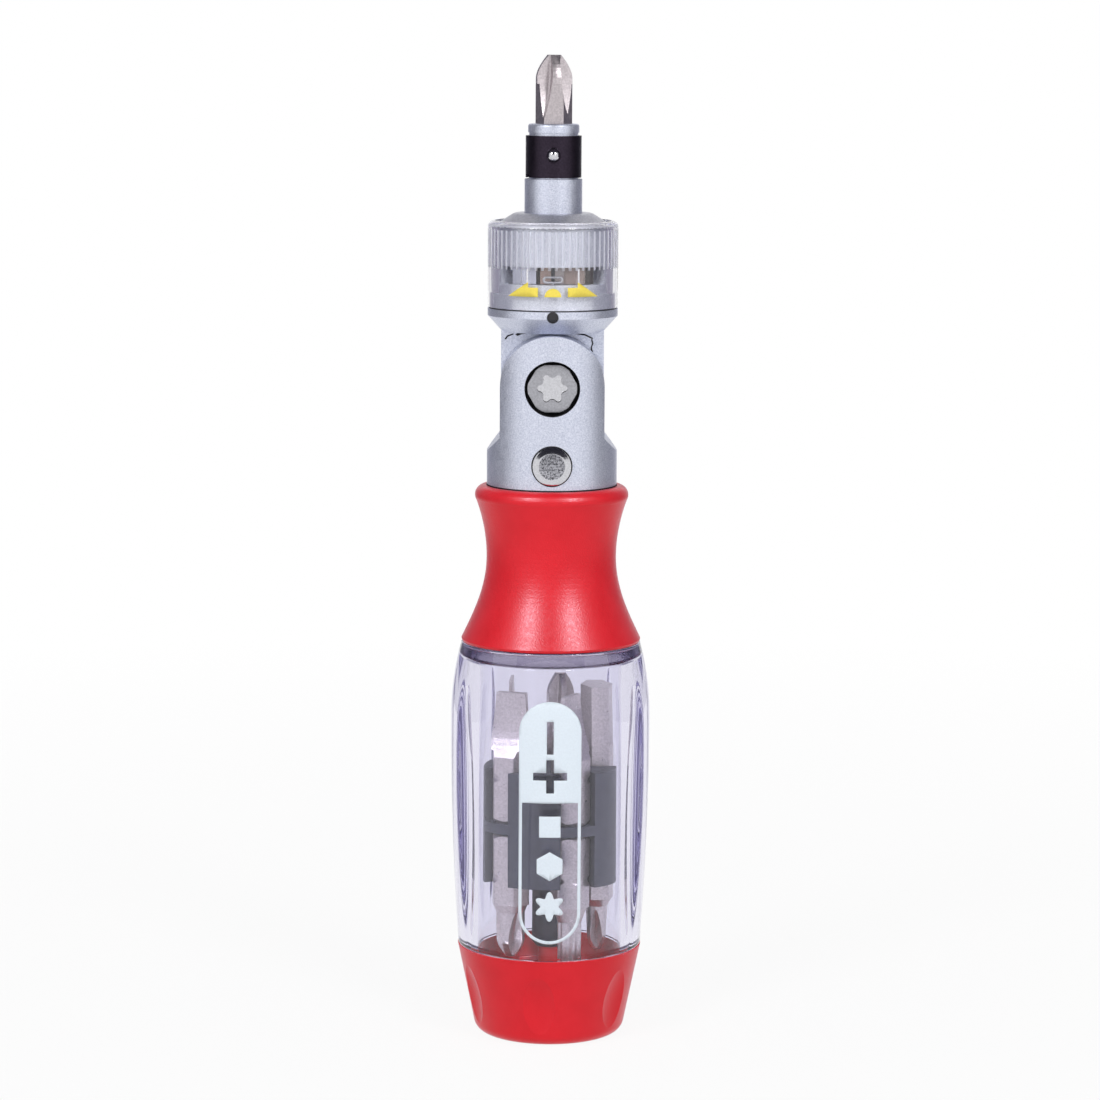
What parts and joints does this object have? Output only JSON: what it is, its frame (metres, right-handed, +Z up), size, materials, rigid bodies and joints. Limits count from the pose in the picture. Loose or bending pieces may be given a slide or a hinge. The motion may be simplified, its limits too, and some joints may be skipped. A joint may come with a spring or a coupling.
{
  "type": "ratcheting screwdriver",
  "caption": "Hand screwdriver with a clear handle that stores bits, a head that tilts and locks, a reversible ratchet set by a ribbed ring, and a quick-change chuck with a cross bit.",
  "frame": {"origin": "centre of the end cap's foot, which the tool stands on", "axes": "+Z up the shaft from the end cap to the bit's tip; -Y to the front, the side with the lock button and the pivot screw's head"},
  "size_m": [0.0396, 0.0396, 0.1941],
  "materials": {
    "clear_plastic": "clear, faint violet tint",
    "red_plastic": "satin",
    "satin_steel": "satin with a fine grain",
    "screw_steel": "plain",
    "spring_steel": "plain",
    "bronze": "plain",
    "slate_plastic": "matte",
    "bit_steel": "satin, warm grey",
    "bright_chrome": "polished, with a grained face",
    "grey_cover": "satin, darker grey",
    "black_plug": "matte",
    "pawl_steel": "oiled, brownish",
    "black_band": "black oxide",
    "magnet": "plain"
  },
  "bodies": {
    "handle": {"handle_body": "clear_plastic", "collar": "red_plastic", "fork": "satin_steel", "pivot_screw": "screw_steel", "pivot_washers": "bronze", "button_spring": "spring_steel"},
    "magazine": {"end_cap": "red_plastic", "bit_carrier": "slate_plastic", "bit_slot_wide": "bit_steel", "bit_slot_medium": "bit_steel", "bit_hex_large": "bit_steel", "bit_cross_large": "bit_steel", "bit_slot_narrow": "bit_steel", "bit_cross_medium": "bit_steel", "bit_star_large": "bit_steel", "bit_cross_small": "bit_steel", "bit_hex_small": "bit_steel", "bit_star_small": "bit_steel"},
    "button": {"lock_button": "bright_chrome"},
    "bolt": {"lock_bolt": "screw_steel", "bolt_pin": "screw_steel"},
    "head": {"ratchet_housing": "satin_steel", "dome_cover": "grey_cover", "spindle_bush": "bronze", "thrust_washer": "screw_steel", "index_plug": "black_plug", "detent_ball": "screw_steel", "detent_spring": "spring_steel", "pawl_pins": "screw_steel", "pawl_spring": "spring_steel"},
    "selector": {"selector_ring": "clear_plastic"},
    "left_pawl": {"pawl_left": "pawl_steel"},
    "right_pawl": {"pawl_right": "pawl_steel"},
    "chuck": {"spindle": "satin_steel", "retaining_band": "black_band", "retaining_ball": "screw_steel", "bit_magnet": "magnet"},
    "bit": {"fitted_bit": "bit_steel"}
  },
  "joints": [
    {"name": "magazine_pull", "type": "slide", "parent": "handle", "child": "magazine", "axis": [0, 0, -1], "range_m": [0, 0.065]},
    {"name": "button_press", "type": "slide", "parent": "handle", "child": "button", "axis": [0, 1, 0], "range_m": [0, 0.002], "stiffness_N_per_m": 1200, "springref_m": -0.001, "deforming": ["button_spring"]},
    {"name": "bolt_draw", "type": "slide", "parent": "handle", "child": "bolt", "axis": [0, 0, -1], "range_m": [0, 0.002]},
    {"name": "head_tilt", "type": "hinge", "parent": "handle", "child": "head", "pos_m": [0, 0, 0.13], "axis": [0, 1, 0], "range_deg": [-90, 90]},
    {"name": "selector_turn", "type": "hinge", "parent": "head", "child": "selector", "pos_m": [0, 0, 0.153], "axis": [0, 0, 1], "range_deg": [-25, 25]},
    {"name": "left_pawl_swing", "type": "hinge", "parent": "head", "child": "left_pawl", "pos_m": [-0.00475, -0.00705, 0.1517], "axis": [0, 0, 1], "range_deg": [-10, 10]},
    {"name": "right_pawl_swing", "type": "hinge", "parent": "head", "child": "right_pawl", "pos_m": [0.00475, -0.00705, 0.1517], "axis": [0, 0, 1], "range_deg": [-10, 10]},
    {"name": "spindle_spin", "type": "hinge", "parent": "head", "child": "chuck", "pos_m": [0, 0, 0.16], "axis": [0, 0, 1], "continuous": true},
    {"name": "bit_pull", "type": "slide", "parent": "chuck", "child": "bit", "axis": [0, 0, 1], "range_m": [0, 0.02]}
  ],
  "couplings": [
    {"joint": "bolt_draw", "follows": "button_press", "ratio": 1},
    {"joint": "left_pawl_swing", "follows": "selector_turn", "ratio": 0.4},
    {"joint": "right_pawl_swing", "follows": "selector_turn", "ratio": 0.4}
  ]
}
